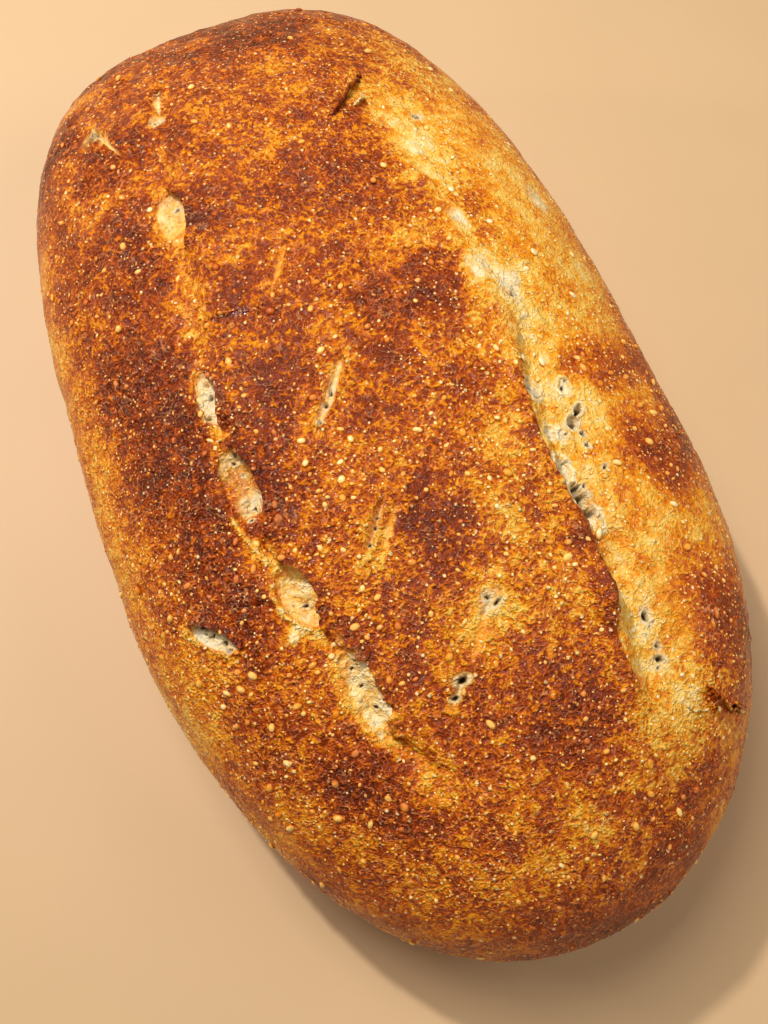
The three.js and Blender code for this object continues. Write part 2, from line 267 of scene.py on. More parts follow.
# Lumps of the lid's edge, raised: [across, along, half width, half length, height].
BULGES = [
    [27, -73.6, 3.2, 6, 2.8], [26, -78, 2.4, 3, 0.7], [-30, -26, 5, 8, 0.7], [24, 74, 6, 6, 0.8],
    [-24, 10, 9, 13, 0.7], [22, 14, 10, 6, 0.6],
]
# Where the dark skin gets a purplish painted sheen of reflected light: [across, along, half width, half
# length, amount].
DUSKY_SHEEN = [
    [-24, 9, 12, 15, 1.2], [-50, 18, 10, 34, 0.2], [20, 15, 12, 8, 0.3], [-1, -45, 11, 11, 0.9],
    [-15, -61, 9, 12, 0.7], [-22, 35, 8, 10, 0.6], [12, -92, 12, 12, 0.3], [-31, -18, 7, 12, 0.5],
    [4, 66, 26, 38, 0.6], [10, -60, 24, 26, 0.25], [-42, 60, 8, 12, 0.5], [2, -14, 10, 9, 0.3],
    [-14, 56, 12, 8, 0.5],
]

# Cloudy noise in the relief and the browning: [size of its largest lumps, octaves, offset].
MOTTLE = [17, 4, 3.0]
BODY = [15, 2, 5.0]
FINE_LUMPS = [1.9, 2, 7.0]
RAGGED_RIM = [2.6, 3, 11.0]
RIGHT_WOBBLE = [9, 3, 1.0]
LEFT_WOBBLE = [7, 3, 4.0]
STRAY_EDGE = [7, 4, 8.0]
STRANDS = [2.6, 3, 9.0]
MOUNDS = [6, 2, 4.0]
BLOTCHES = [6, 4, 6.0]
FOLDS = [4.6, 2.0]  # the dried skin's sharp folds: their size and offset


def smooth(start, end, value):
    """0 below start and 1 above end, with a smooth step between."""
    share = np.clip((value - start) / (end - start), 0, 1)
    return share * share * (3 - 2 * share)


def bell(distance, width):
    return np.exp(-((distance / width) ** 2))


def along_stops(stops, along):
    """A value given at places along the loaf, read off between them."""
    places = np.array(stops, float)
    return np.interp(along, places[:, 0], places[:, 1])


def clouds(places, size, octaves, offset):
    """Cloudy noise of about -1 to 1, with its largest lumps the given size in millimetres."""
    scaled = (places / size + offset).tolist()
    return np.array([noise.fractal(place, 1.0, 2.0, octaves) for place in scaled])


def creases(places, size, offset):
    """Noise of 0 to 1 with sharp folds, as on a dried skin."""
    scaled = (places / size + offset).tolist()
    return np.array([noise.ridged_multi_fractal(place, 0.9, 2.1, 3, 1.0, 2.0) for place in scaled]) / 2


# The form of the loaf, with the same steps as its solid.

def outline_radius(turn):
    """Distance from the widest place to the girth line, in a direction turned from +Y towards +X."""
    along = np.cos(turn)
    reach = LENGTH / 2 - np.sign(along) * WIDEST_Y
    blunt = np.clip(0.5 + 1.2 * along, 0, 1)
    power = ROUND_SQUARENESS + (BLUNT_SQUARENESS - ROUND_SQUARENESS) * blunt
    wave = 1 + sum(size * np.sin(count * turn + start) for size, count, start in WAVES_ROUND)
    across = np.abs(np.sin(turn)) / (WIDTH / 2)
    return wave * (across**power + (np.abs(along) / reach) ** power) ** (-1 / power)


def score_across(line, along):
    """The score's place across the loaf: smooth steps between the named places."""
    across = np.full(along.shape, float(line[-1][0]))
    for (x0, y0), (x1, y1) in zip(reversed(line[:-1]), reversed(line[1:])):
        across = np.where(along >= y1, x1 + (x0 - x1) * smooth(y1, y0, along), across)
    return across


def score_outward(score, across, along):
    return score["side"] * (across - score_across(score["line"], along))


def score_open(score, along):
    start, end = score["line"][0][1], score["line"][-1][1]
    return smooth(0, SCORE_FADE, start - along) * smooth(0, SCORE_FADE, along - end)


def score_relief(score, across, along):
    outward = score_outward(score, across, along)
    furrow = bell(outward, np.where(outward < 0, score["crust_slope"], score["flank_slope"]))
    lip = score["lip"] * bell(outward + LIP_WIDTH, LIP_WIDTH)
    return score_open(score, along) * (lip - score["depth"] * furrow)


def swells(across, along):
    return sum(size * np.sin(a * across + b * along + start) for size, a, b, start in SWELLS)


def loaf_places(cube):
    """Places on the loaf, in millimetres, for places on the surface of a cube from -1 to 1."""
    ball = np.tan(cube * math.pi / 4)
    ball /= np.linalg.norm(ball, axis=1)[:, None]
    turn = np.arctan2(ball[:, 0], ball[:, 1])
    polar = np.degrees(np.arccos(np.clip(ball[:, 2], -1, 1)))
    rise = np.radians(90 * np.minimum(polar, GIRTH_POLAR) / GIRTH_POLAR)
    fall = np.radians(90 * np.clip((polar - GIRTH_POLAR) / (FOOT_POLAR - GIRTH_POLAR), 0, 1))
    dome_share = np.sin(rise) ** (2 / DOME_FULLNESS)
    dome_rise = np.maximum(np.cos(rise), 0) ** (2 / DOME_FULLNESS)
    dome_height = GIRTH_HEIGHT + (HEIGHT - GIRTH_HEIGHT) * dome_rise
    foot_share = FOOT_SHARE + (1 - FOOT_SHARE) * np.maximum(np.cos(fall), 0) ** (2 / FOOT_FULLNESS)
    foot_height = GIRTH_HEIGHT * (1 - np.sin(fall) ** (2 / FOOT_FULLNESS))
    base_share = FOOT_SHARE * (180 - polar) / (180 - FOOT_POLAR)
    on_dome, on_foot = polar <= GIRTH_POLAR, polar <= FOOT_POLAR
    share = np.where(on_dome, dome_share, np.where(on_foot, foot_share, base_share))
    height = np.where(on_dome, dome_height, np.where(on_foot, foot_height, 0))
    radius = outline_radius(turn) * share
    x = radius * np.sin(turn)
    y = WIDEST_Y + radius * np.cos(turn)
    relief = swells(x, y) + score_relief(RIGHT_SCORE, x, y) + score_relief(LEFT_SCORE, x, y)
    height = height + np.where(polar < GIRTH_POLAR, relief * smooth(0, 0.12, 1 - share), 0)
    return np.stack([x, y, height], axis=1)


def settle(places):
    """Fits the plain form to the solid's box, which moves it by a hair."""
    low, high = places.min(axis=0), places.max(axis=0)
    return BASE_LOW + (places - low) * (BASE_HIGH - BASE_LOW) / (high - low)


# The fine relief and the browning of the crust.

def turned(across, along, x, y, turn):
    """Distances across and along a thing at x, y whose length is turned from Y towards X."""
    sine, cosine = math.sin(math.radians(turn)), math.cos(math.radians(turn))
    dx, dy = across - x, along - y
    return dx * cosine - dy * sine, dx * sine + dy * cosine


def oval_share(across, along, place):
    """How far out in an opening a place is, 0 in its middle and 1 on its rim, and on which side."""
    x, y, half_length, half_width, _, turn = place
    side, length = turned(across, along, x, y, turn)
    return np.hypot(side / half_width, length / half_length), side / half_width


def line_distance(across, along, line):
    """Distance to a line of places, and how far along it the nearest point is, from 0 to 1."""
    best = np.full(across.shape, 1e9)
    share = np.zeros(across.shape)
    total = len(line) - 1
    for index in range(total):
        start, end = np.array(line[index], float), np.array(line[index + 1], float)
        step = end - start
        t = np.clip(((across - start[0]) * step[0] + (along - start[1]) * step[1]) / (step @ step), 0, 1)
        distance = np.hypot(across - start[0] - t * step[0], along - start[1] - t * step[1])
        nearer = distance < best
        best = np.where(nearer, distance, best)
        share = np.where(nearer, (index + t) / total, share)
    return best, share


class Crust:
    """The relief, browning and crumb of every vertex, built up feature by feature."""

    def __init__(self, places, normals):
        self.places = places
        self.x, self.y, self.z = places.T
        self.crown = smooth(0.12, 0.4, normals[:, 2]) * smooth(GIRTH_HEIGHT - 6, GIRTH_HEIGHT + 4, self.z)
        self.lift = np.zeros(len(places))  # millimetres outwards
        self.shift = np.zeros((len(places), 2))  # millimetres across and along
        self.browning = np.full(len(places), float(EVEN_BROWNING))
        self.crumb = np.zeros(len(places))
        # The next value sets how much purplish painted sheen of reflected light the dark, leathery skin
        # gets.
        self.dusk = np.zeros(len(places))  # how leathery and purplish the dark skin is
        self.soft = 0.5 * (1 - smooth(0.5, 0.85, normals[:, 2]))  # how calm and stretched the skin is
        # How deep in a pore each place is also sets how dark its inside is painted, as shade.
        self.hollow = np.zeros(len(places))  # how deep in a pore
        self.ragged = clouds(places, *RAGGED_RIM)

    def reach(self, x, y, half_width, half_length, turn=0):
        """How far out in an oval patch every place is, squared: 0 in its middle and 1 on its rim."""
        side, length = turned(self.x, self.y, x, y, turn)
        return (side / half_width) ** 2 + (length / half_length) ** 2

    def brown(self):
        """Patches of the crown, and the plainer flank, foot and sole."""
        tone = np.zeros(len(self.places))
        for *patch, browning in BROWNING_AND_GLOSS_PATCHES:
            tone += browning * np.exp(-(self.reach(*patch) ** 1.4))
        waist = smooth(4, GIRTH_HEIGHT, self.z) * (1 - smooth(GIRTH_HEIGHT, GIRTH_HEIGHT + 16, self.z))
        foot = 1 - smooth(0.5, 9, self.z)
        mottle = clouds(self.places, *MOTTLE)
        self.browning += tone - 0.1 * waist + 0.14 * foot + 0.2 * mottle

    def lump(self, settings):
        """The hand-shaped dough's lumps and the dried skin's wrinkles, deepest where it is darkest."""
        dark = smooth(0.55, 0.95, self.browning)
        body = clouds(self.places, *BODY)
        folds = creases(self.places, *FOLDS)
        fine = clouds(self.places, *FINE_LUMPS)
        sole = smooth(0, 3, self.z)
        depth = settings.wrinkle_depth / MM
        self.lift += sole * 0.45 * body
        self.lift += sole * depth * ((0.35 + 0.65 * dark) * (folds - 0.55) + (0.4 + 0.3 * dark) * fine)

    def raise_bulges(self):
        """Lumps of the lid; the first, by the right split, is dark and leathery, with a purplish painted
        sheen.
        """
        for *patch, height in BULGES:
            self.lift += height * np.exp(-self.reach(*patch)) * (1 + 0.5 * self.ragged)
        near = np.exp(-self.reach(*BULGES[0][:4]))
        self.browning += 0.4 * near
        self.dusk += 0.8 * near

    def open_pocket(self, pocket, lid_side):
        """An opening with crumb on its floor, under the lid's overhanging edge if it has one."""
        place, crumbs, floor_browning = pocket
        share, side = oval_share(self.x, self.y, place)
        ragged, softness = (0.07, 0) if place[4] > 1 else (0.3, 0.22)
        share = np.maximum(share + ragged * self.ragged, 0)
        inside = 1 - smooth(0.86 - softness, 1.04 + softness, share)
        self.soft = np.maximum(self.soft, 0.65 * self.crown * inside)
        bowl = np.sqrt(np.clip(1 - share**2.6, 0, 1)) * (0.55 + 0.45 * smooth(-0.7, 0.7, side * lid_side))
        lid = smooth(0.05, 0.6, side * lid_side)
        rim = bell(share - 1.14, 0.16) * min(abs(place[4]), 1)
        turn = math.radians(place[5])
        _, length = turned(self.x, self.y, place[0], place[1], place[5])
        open_crumb = np.interp(length / place[2] + 0.5 * self.ragged, [-0.8, 0, 0.8], crumbs[::-1])
        self.lift -= self.crown * place[4] * bowl
        self.lift += self.crown * rim * (0.2 + 0.7 * lid)
        self.lift += self.crown * inside * 0.16 * self.ragged
        inward = -lid_side * (1.2 * bell(share - 1.1, 0.14) * lid)
        self.shift[:, 0] += self.crown * inward * math.cos(turn)
        self.shift[:, 1] -= self.crown * inward * math.sin(turn)
        self.crumb = np.maximum(self.crumb, self.crown * inside * open_crumb)
        deep = min(abs(place[4]), 1)
        edge = deep * (0.2 * bell(share - 1.18, 0.14) * lid - 0.24 * bell(share - 1.2, 0.22) * (1 - lid))
        level = floor_browning + 0.16 * smooth(0.55, 1, share) + 0.2 * self.ragged
        self.browning += self.crown * (edge + inside * (level - self.browning))

    def cut_slash(self, place):
        """A short shallow slash whose floor has set pale."""
        share, _ = oval_share(self.x, self.y, place[:6])
        share = np.maximum(share + 0.22 * self.ragged, 0)
        floor = np.sqrt(np.clip(1 - share**2, 0, 1))
        self.lift += self.crown * (0.3 * bell(share - 1.4, 0.45) - place[4] * floor)
        pale = 1 - smooth(0.3, 1.1, share)
        self.soft = np.maximum(self.soft, self.crown * pale)
        self.crumb = np.maximum(self.crumb, place[6] * self.crown * pale)
        self.browning += self.crown * pale * (place[7] - self.browning) * 0.9

    def pierce(self, x, y, radius, depth, darkness=1.0):
        """A small hole in a patch of crumb, longer one way, painted dark inside as shade."""
        side, length = turned(self.x, self.y, x, y, 60 * x)
        share = np.maximum(np.hypot(side, length * 0.7) / radius + 0.3 * self.ragged, 0)
        self.lift -= self.crown * depth * (1 - smooth(0.35, 1.05, share))
        self.hollow = np.maximum(self.hollow, darkness * self.crown * (1 - smooth(0.5, 1, share)))
        ring = self.crown * (1 - smooth(1.3, 2.2, share))
        self.crumb = np.maximum(self.crumb, 0.8 * ring)
        self.browning += ring * 0.6 * (0.3 - self.browning)

    def crack(self, line, depth, half_width):
        distance, along = line_distance(self.x, self.y, line)
        distance = distance + 0.5 * half_width * self.ragged
        fade = smooth(0, 0.2, along) * smooth(0, 0.2, 1 - along)
        self.lift += self.crown * fade * (0.4 * depth * bell(distance - 2 * half_width, half_width))
        self.lift -= self.crown * fade * depth * bell(distance, half_width)
        # A crack is painted darker along its line, as shade in the crease; a ridge, with a depth below 0,
        # is made paler.
        darker = 0.15 * math.copysign(1, depth) + 0.15 * depth
        self.browning += self.crown * fade * darker * bell(distance, 1.2 * half_width)

    def along_only(self, noise_settings):
        """Cloudy noise that changes along the loaf alone."""
        return clouds(np.stack([self.y * 0, self.y, self.y * 0], axis=1), *noise_settings)

    def split_right(self):
        """The wide split: the lid's crisp edge, and a furrow of stretched pale crumb beside it."""
        wobble = 0.7 * self.along_only(RIGHT_WOBBLE)
        stray = along_stops(RAGGED_ALONG, self.y) * clouds(self.places, *STRAY_EDGE)
        stray += along_stops(EDGE_ALONG, self.y)
        outward = score_outward(RIGHT_SCORE, self.x, self.y) + wobble + 0.5 * self.ragged + stray
        opened = score_open(RIGHT_SCORE, self.y) * self.crown
        crisp = opened * along_stops(CRISP_ALONG, self.y)
        pale = opened * along_stops(PALE_ALONG, self.y)
        self.lift += crisp * 0.8 * bell(outward + 3.4, 1.7)
        self.lift -= crisp * 0.8 * smooth(-2.5, -1.7, outward) * (1 - smooth(1, 9, outward))
        self.shift[:, 0] += crisp * 1.2 * bell(outward + 2.7, 0.8)
        self.browning += crisp * 0.1 * bell(outward + 3, 1.2)
        strands = np.stack([self.x + 0.25 * self.y, self.y * 0.4, self.z], axis=1)
        floor = smooth(-2.6, -0.6, outward) * (1 - smooth(PALE_ACROSS * 0.75, PALE_ACROSS * 1.9, outward))
        bumps = 0.45 * clouds(strands, *STRANDS) + 0.5 * clouds(self.places, *MOUNDS)
        self.lift += opened * floor * bumps
        filled = score_relief(RIGHT_SCORE, self.x, self.y) * smooth(-14, 16, self.y)
        self.lift -= 0.86 * self.crown * filled
        self.soft = np.maximum(self.soft, 0.6 * pale * floor)
        self.soft = np.maximum(self.soft, 0.6 * opened * smooth(4, 12, outward))
        blotch = 0.5 + 0.5 * clouds(self.places, *BLOTCHES)
        level = 0.01 + 0.34 * (1 - blotch) + 0.14 * smooth(0, PALE_ACROSS * 1.5, outward)
        self.browning += pale * floor * (level - self.browning)
        core = smooth(-2.4, -1.2, outward) * (1 - smooth(2.5, PALE_ACROSS, outward))
        self.crumb = np.maximum(self.crumb, 0.24 * pale * core * smooth(0.45, 0.75, blotch))
        for *patch, paleness in PALE_PATCHES:
            reach = self.reach(*patch) + 0.5 * self.ragged
            near = self.crown * paleness * np.exp(-(np.maximum(reach, 0) ** 1.4))
            self.browning += near * (0.32 * (1 - blotch) - self.browning)
            self.soft = np.maximum(self.soft, 0.6 * near)
            self.crumb = np.maximum(self.crumb, 0.24 * near * smooth(0.5, 0.8, blotch))

    def split_left(self):
        """The narrow seam between the left pockets."""
        wobble = 1.1 * self.along_only(LEFT_WOBBLE)
        outward = score_outward(LEFT_SCORE, self.x, self.y) + wobble + 0.9 * self.ragged
        opened = score_open(LEFT_SCORE, self.y) * self.crown
        lower = 1 - smooth(40, 70, self.y)
        groove = 0.6 * (1 - smooth(-2, 18, self.y))
        self.lift += opened * groove * (0.9 * bell(outward + 2.6, 1.4) - 1.2 * bell(outward, 1.1))
        self.browning -= opened * (0.06 + 0.1 * lower) * (1 + self.ragged) * bell(outward - 1.5, 4)

    def limit_browning(self):
        """Keeps the darkest patches from turning black."""
        over = np.maximum(self.browning - DARKEST, 0)
        self.browning -= over - DARK_MARGIN * np.tanh(over / DARK_MARGIN)

    def paint_dusk_sheen(self):
        """Patches of the dark skin that dried leathery, with a purplish painted sheen of reflected light.
        """
        for *patch, amount in DUSKY_SHEEN:
            self.dusk += amount * np.exp(-self.reach(*patch))
        self.dusk *= self.crown * (1 - smooth(0.1, 0.5, self.crumb))

    def sprinkle_pores(self, draw):
        """Tiny holes at random in the crumb of the furrow and the pockets."""
        crumb = np.flatnonzero(self.crumb > 0.45)
        for _ in range(PORE_COUNT):
            index = crumb[draw.randrange(len(crumb))]
            radius = 0.22 + 0.3 * draw.random() ** 2
            self.pierce(self.x[index], self.y[index], radius, 0.4 + radius, 0.3 + 0.5 * draw.random())


# Meshes.

def ball_grid(across, along, up):
    """A cube of the given numbers of squares, which loaf_places draws out to the loaf's form."""
    bm = bmesh.new()
    bmesh.ops.create_cube(bm, size=2)
    for axis, squares in ((0, across), (1, along), (2, up)):
        edges = [e for e in bm.edges if abs(e.verts[0].co[axis] - e.verts[1].co[axis]) > 1]
        bmesh.ops.subdivide_edges(bm, edges=edges, cuts=squares - 1, use_grid_fill=True)
    return bm


def refine(bm, wanted, cuts):
    """Cuts the faces finer where wanted(places) says, at the middle of a face on the plain loaf."""
    faces = list(bm.faces)
    middles = np.array([face.calc_center_median()[:] for face in faces])
    chosen = np.flatnonzero(wanted(loaf_places(middles)))
    edges = list({edge for index in chosen for edge in faces[index].edges})
    bmesh.ops.subdivide_edges(bm, edges=edges, cuts=cuts, use_grid_fill=True)


CAST_HEIGHT = 150  # places are found from this height, above all of the crust, in millimetres
DOWN = Vector((0, 0, -1))

# The crust's mesh. Each side of its cube spans so many millimetres of crust, across, along and up.
CUBE_SPANS = (100, 181, 92)
FIRST_SQUARES = 5  # how many squares the first cut makes of each, along its side, above the foot
FOOT_TOP = 9
LID_ACROSS, LID_NEAR, LID_FAR = 48, -104, 96  # the lid between the scores, and a little beyond
CROWN_HEIGHT, LID_HEIGHT = GIRTH_HEIGHT + 8, GIRTH_HEIGHT + 20  # openings and lid lie above these
SPLIT_NEAR, SPLIT_FAR = -88, 4  # where the right score's edge is crisp enough for a finer mesh


def near_openings(places):
    """True near the pockets, the holes and the crisp edge of the right score."""
    x, y, z = places.T
    found = np.zeros(len(places), bool)
    for place, _, _ in [*LEFT_POCKETS, FLANK_TEAR, *CAVITIES]:
        if abs(place[4]) > SHALLOW:
            found |= oval_share(x, y, place)[0] < 1.25 + 0.8 / place[3]
    for place in SLASHES:
        found |= oval_share(x, y, place[:6])[0] < 1.8
    for x0, y0, radius, _ in HOLES:
        found |= np.hypot(x - x0, y - y0) < radius + 0.8
    outward = score_outward(RIGHT_SCORE, x, y) + along_stops(EDGE_ALONG, y)
    found |= (np.abs(outward + 2) < 1.3) & (y < SPLIT_FAR) & (y > SPLIT_NEAR)
    return found & (z > CROWN_HEIGHT)


def on_lid(places):
    """True on the lid between the scores, the scores themselves and a little beyond."""
    x, y, z = places.T
    return (np.abs(x) < LID_ACROSS) & (y > LID_NEAR) & (y < LID_FAR) & (z > LID_HEIGHT)


def heading(turn):
    """A direction turned from +Y towards +X, in radians."""
    return Vector((math.sin(turn), math.cos(turn), 0))


def add_piece(name, mesh):
    piece = bpy.data.objects.new(name, mesh)
    bpy.context.scene.collection.objects.link(piece)
    return piece


def write_mesh(name, bm):
    mesh = bpy.data.meshes.new(name)
    bm.to_mesh(mesh)
    bm.free()
    return add_piece(name, mesh)


def surface_tree(mesh):
    """A tree that finds places on a mesh by rays."""
    bm = bmesh.new()
    bm.from_mesh(mesh)
    tree = BVHTree.FromBMesh(bm)
    bm.free()
    return tree


def set_values(mesh, name, values):
    attribute = mesh.attributes.new(name, "FLOAT", "POINT")
    attribute.data.foreach_set("value", np.ascontiguousarray(values, np.float32))


def read_normals(mesh):
    values = np.empty(len(mesh.vertices) * 3, np.float32)
    mesh.vertex_normals.foreach_get("vector", values)
    return values.reshape(-1, 3).astype(float)


def write_places(mesh, places):
    mesh.vertices.foreach_set("co", (places * MM).astype(np.float32).ravel())
    mesh.update()


def make_crust(settings):
    """The whole crust as one closed mesh, finest round its openings."""
    step = settings.square_size / MM * FIRST_SQUARES
    bm = ball_grid(*(round(span / step) for span in CUBE_SPANS))
    refine(bm, lambda places: places[:, 2] > FOOT_TOP, FIRST_SQUARES - 1)
    refine(bm, on_lid, 1)
    refine(bm, near_openings, 1)
    refine(bm, lambda places: near_openings(places) & ~on_lid(places), 1)
    cube = np.array([vertex.co[:] for vertex in bm.verts])
    places = settle(loaf_places(cube))
    for vertex, place in zip(bm.verts, places):
        vertex.co = place * MM
    bmesh.ops.recalc_face_normals(bm, faces=bm.faces)
    for face in bm.faces:
        face.smooth = True
    piece = write_mesh("crust", bm)
    normals = read_normals(piece.data)
    crust = Crust(places, normals)
    crust.brown()
    crust.lump(settings)
    crust.split_right()
    crust.split_left()
    crust.raise_bulges()
    for place in SLASHES:
        crust.cut_slash(place)
    for line, depth, half_width in CRACKS:
        crust.crack(line, depth, half_width)
    for pocket in [*LEFT_POCKETS, FLANK_TEAR]:
        crust.open_pocket(pocket, LID_OVER)
    for pocket in CAVITIES:
        crust.open_pocket(pocket, NO_LID)
    for x, y, radius, depth in HOLES:
        crust.pierce(x, y, radius, depth)
    crust.sprinkle_pores(random.Random(settings.seed))
    crust.limit_browning()
    crust.paint_dusk_sheen()
    moved = places + normals * crust.lift[:, None]
    moved[:, :2] += crust.shift
    moved[:, 2] = np.maximum(moved[:, 2], 0)
    write_places(piece.data, moved)
    for name in ("browning", "crumb", "dusk", "soft", "hollow"):
        set_values(piece.data, name, getattr(crust, name))
    return piece


def dome_template(sides, rings):
    """A low dome one millimetre in radius that flattens at its rim, with a closed floor."""
    bm = bmesh.new()
    bmesh.ops.create_uvsphere(bm, u_segments=sides, v_segments=2 * rings, radius=1)
    cut = bmesh.ops.bisect_plane(bm, geom=bm.verts[:] + bm.edges[:] + bm.faces[:], dist=1e-4,
                                 plane_co=(0, 0, 0), plane_no=(0, 0, 1), clear_inner=True)
    rim = [e for e in cut["geom_cut"] if isinstance(e, bmesh.types.BMEdge)]
    bmesh.ops.contextual_create(bm, geom=rim)
    for vertex in bm.verts:
        height = vertex.co.z
        spread = 1 - 0.18 * math.sin(math.pi * height)
        vertex.co.x *= spread
        vertex.co.y *= spread
    bmesh.ops.recalc_face_normals(bm, faces=bm.faces)
    bmesh.ops.triangulate(bm, faces=bm.faces)
    places = np.array([vertex.co[:] for vertex in bm.verts])
    faces = np.array([[vertex.index for vertex in face.verts] for face in bm.faces])
    bm.free()
    return places, faces


class Scatter:
    """Random places for blisters on the crust, which never crowd each other."""

    CELL = 3  # millimetres
    REACH = 1.1  # shares of the way to the girth line are drawn up to this
    CROWN_SHARE = 0.94  # below this share a place is found from above, beyond it from the side
    FLANK_LOW, FLANK_RISE = 6, 34  # heights of the places on the flank, in millimetres
    LEAST_HEIGHT = 5  # no blister lies lower

    def __init__(self, crust, draw):
        self.draw = draw
        self.polygons = crust.polygons
        self.tree = surface_tree(crust)
        self.values = {}
        for name in ("browning", "crumb"):
            values = np.empty(len(crust.vertices), np.float32)
            crust.attributes[name].data.foreach_get("value", values)
            self.values[name] = values
        self.taken = {}

    def cast(self):
        """A random place on the crust: over the crown, or from the side on the flank."""
        turn = self.draw.random() * math.tau
        share = math.sqrt(self.draw.random()) * self.REACH
        radius = outline_radius(np.array([turn]))[0]
        way = heading(turn)
        middle = Vector((0, WIDEST_Y, 0))
        if share < self.CROWN_SHARE:
            above = middle + way * radius * share + Vector((0, 0, CAST_HEIGHT))
            return self.tree.ray_cast(above * MM, DOWN)
        height = Vector((0, 0, self.FLANK_LOW + self.draw.random() * self.FLANK_RISE))
        return self.tree.ray_cast((middle + way * radius * 1.5 + height) * MM, -way)

    def crowded(self, place, size, gap):
        cell = [round(part / MM / self.CELL) for part in place]
        steps = (-1, 0, 1)
        near = [(cell[0] + a, cell[1] + b, cell[2] + c) for a in steps for b in steps for c in steps]
        for key in near:
            for other, reach in self.taken.get(key, ()):
                if (other - place).length < (reach + size) * gap * MM:
                    return True
        self.taken.setdefault(tuple(cell), []).append((place, size))
        return False

    def places(self, count, low, high, gap):
        """[place, normal, browning, radius] of each of as many blisters as find room."""
        found = []
        for _ in range(count * 2):
            place, normal, face, _ = self.cast()
            if place is None or place.z < self.LEAST_HEIGHT * MM:
                continue
            corner = self.polygons[face].vertices[0]
            size = low + (high - low) * self.draw.random() ** 2.6
            crumb, browning = self.values["crumb"][corner], self.values["browning"][corner]
            if crumb > 0.1 or (browning < 0.4 and self.draw.random() < 0.55):
                continue
            if not self.crowded(place, size, gap):
                found.append((place, normal, browning, size))
            if len(found) == count:
                break
        return found


BURST_SHARE = 0.14  # how many of the blisters have burst


def join_domes(name, found, draw, template, flatness):
    """All blisters of one kind as one mesh; some have burst and sunk in the middle."""
    places, faces = template
    count = len(places)
    points = np.empty((len(found) * count, 3))
    triangles = np.empty((len(found) * len(faces), 3), int)
    browning = np.empty(len(found) * count)
    lift = np.tile(places[:, 2], len(found))
    tone = np.empty(len(found) * count)
    turns = np.arctan2(places[:, 1], places[:, 0])
    for index, (place, normal, level, size) in enumerate(found):
        stretch = 1 + 0.4 * draw.random() ** 2
        height = flatness * (0.7 + 0.6 * draw.random())
        spin = Euler((0, 0, draw.random() * math.tau)).to_matrix()
        basis = normal.to_track_quat("Z", "Y").to_matrix() @ spin
        local = places * np.array([size * stretch, size / math.sqrt(stretch), size * height])
        local[:, :2] *= (1 + 0.16 * np.sin(2 * turns + draw.random() * math.tau))[:, None]
        local[:, 2] -= 0.1 * size
        if draw.random() < BURST_SHARE:
            local[:, 2] -= np.where(places[:, 2] > 0.9, 0.75 * height * size, 0)
        rows = slice(index * count, (index + 1) * count)
        points[rows] = np.array(place) / MM + local @ np.array(basis).T
        triangles[index * len(faces):(index + 1) * len(faces)] = faces + index * count
        browning[rows] = level
        tone[rows] = draw.random()
    mesh = bpy.data.meshes.new(name)
    mesh.from_pydata((points * MM).tolist(), [], triangles.tolist())
    mesh.polygons.foreach_set("use_smooth", [True] * len(mesh.polygons))
    for attribute, values in (("browning", browning), ("lift", lift), ("tone", tone)):
        set_values(mesh, attribute, values)
    return add_piece(name, mesh)


def make_flap(bm, tree, flap):
    """A torn ear of crust: a ragged leaf that stands on the crust and curls over."""
    x, y, turn, half_length, width, lean, curl, browning, crumb = flap
    earlier = set(bm.verts)
    made = bmesh.ops.create_grid(bm, x_segments=EAR_ALONG, y_segments=EAR_UP, size=1)["verts"]
    way = heading(math.radians(turn))
    side = Vector((way.y, -way.x, 0))
    for vertex in made:
        along, up = vertex.co.x, (vertex.co.y + 1) / 2
        foot = Vector((x, y, 0)) + way * along * half_length
        foot += side * noise.noise(Vector((along * 1.7, turn, 0)))
        place, _, _, _ = tree.ray_cast(Vector((foot.x, foot.y, CAST_HEIGHT)) * MM, DOWN)
        ragged = max(0.7 + 0.6 * noise.fractal(Vector((along * 3, turn, 3)), 1.0, 2.0, 2), 0.3)
        reach = width * max(1 - along * along, 0.04) ** 0.4 * ragged
        angle = math.radians(lean + curl * up)
        out = reach * up
        vertex.co = place / MM + (side * math.cos(angle) + Vector((0, 0, math.sin(angle)))) * out
        vertex.co += Vector((0, 0, 0.5 * noise.noise(Vector((along * 4, up * 3, turn))) - 0.7 * (1 - up)))
    faces = [face for face in bm.faces if not earlier.intersection(face.verts)]
    bmesh.ops.recalc_face_normals(bm, faces=faces)
    bm.normal_update()
    inwards = [-vertex.normal * EAR_THICKNESS for vertex in made]
    back = bmesh.ops.extrude_face_region(bm, geom=faces, use_keep_orig=True)["geom"]
    for face in back:
        if isinstance(face, bmesh.types.BMFace):
            face.normal_flip()
    for vertex, step in zip(made, inwards):
        vertex.co += step
    for vertex in set(bm.verts) - earlier:
        mottle = 0.25 * noise.noise(vertex.co * 0.9)
        vertex[bm.verts.layers.float["browning"]] = browning + mottle
        vertex[bm.verts.layers.float["crumb"]] = crumb


def make_ears(tree):
    """All torn ears as one mesh, each a closed shell."""
    bm = bmesh.new()
    for name in ("browning", "crumb"):
        bm.verts.layers.float.new(name)
    for flap in EARS:
        make_flap(bm, tree, flap)
    bmesh.ops.recalc_face_normals(bm, faces=bm.faces)
    for vertex in bm.verts:
        vertex.co *= MM
    for face in bm.faces:
        face.smooth = True
    return write_mesh("ears", bm)


# Materials.

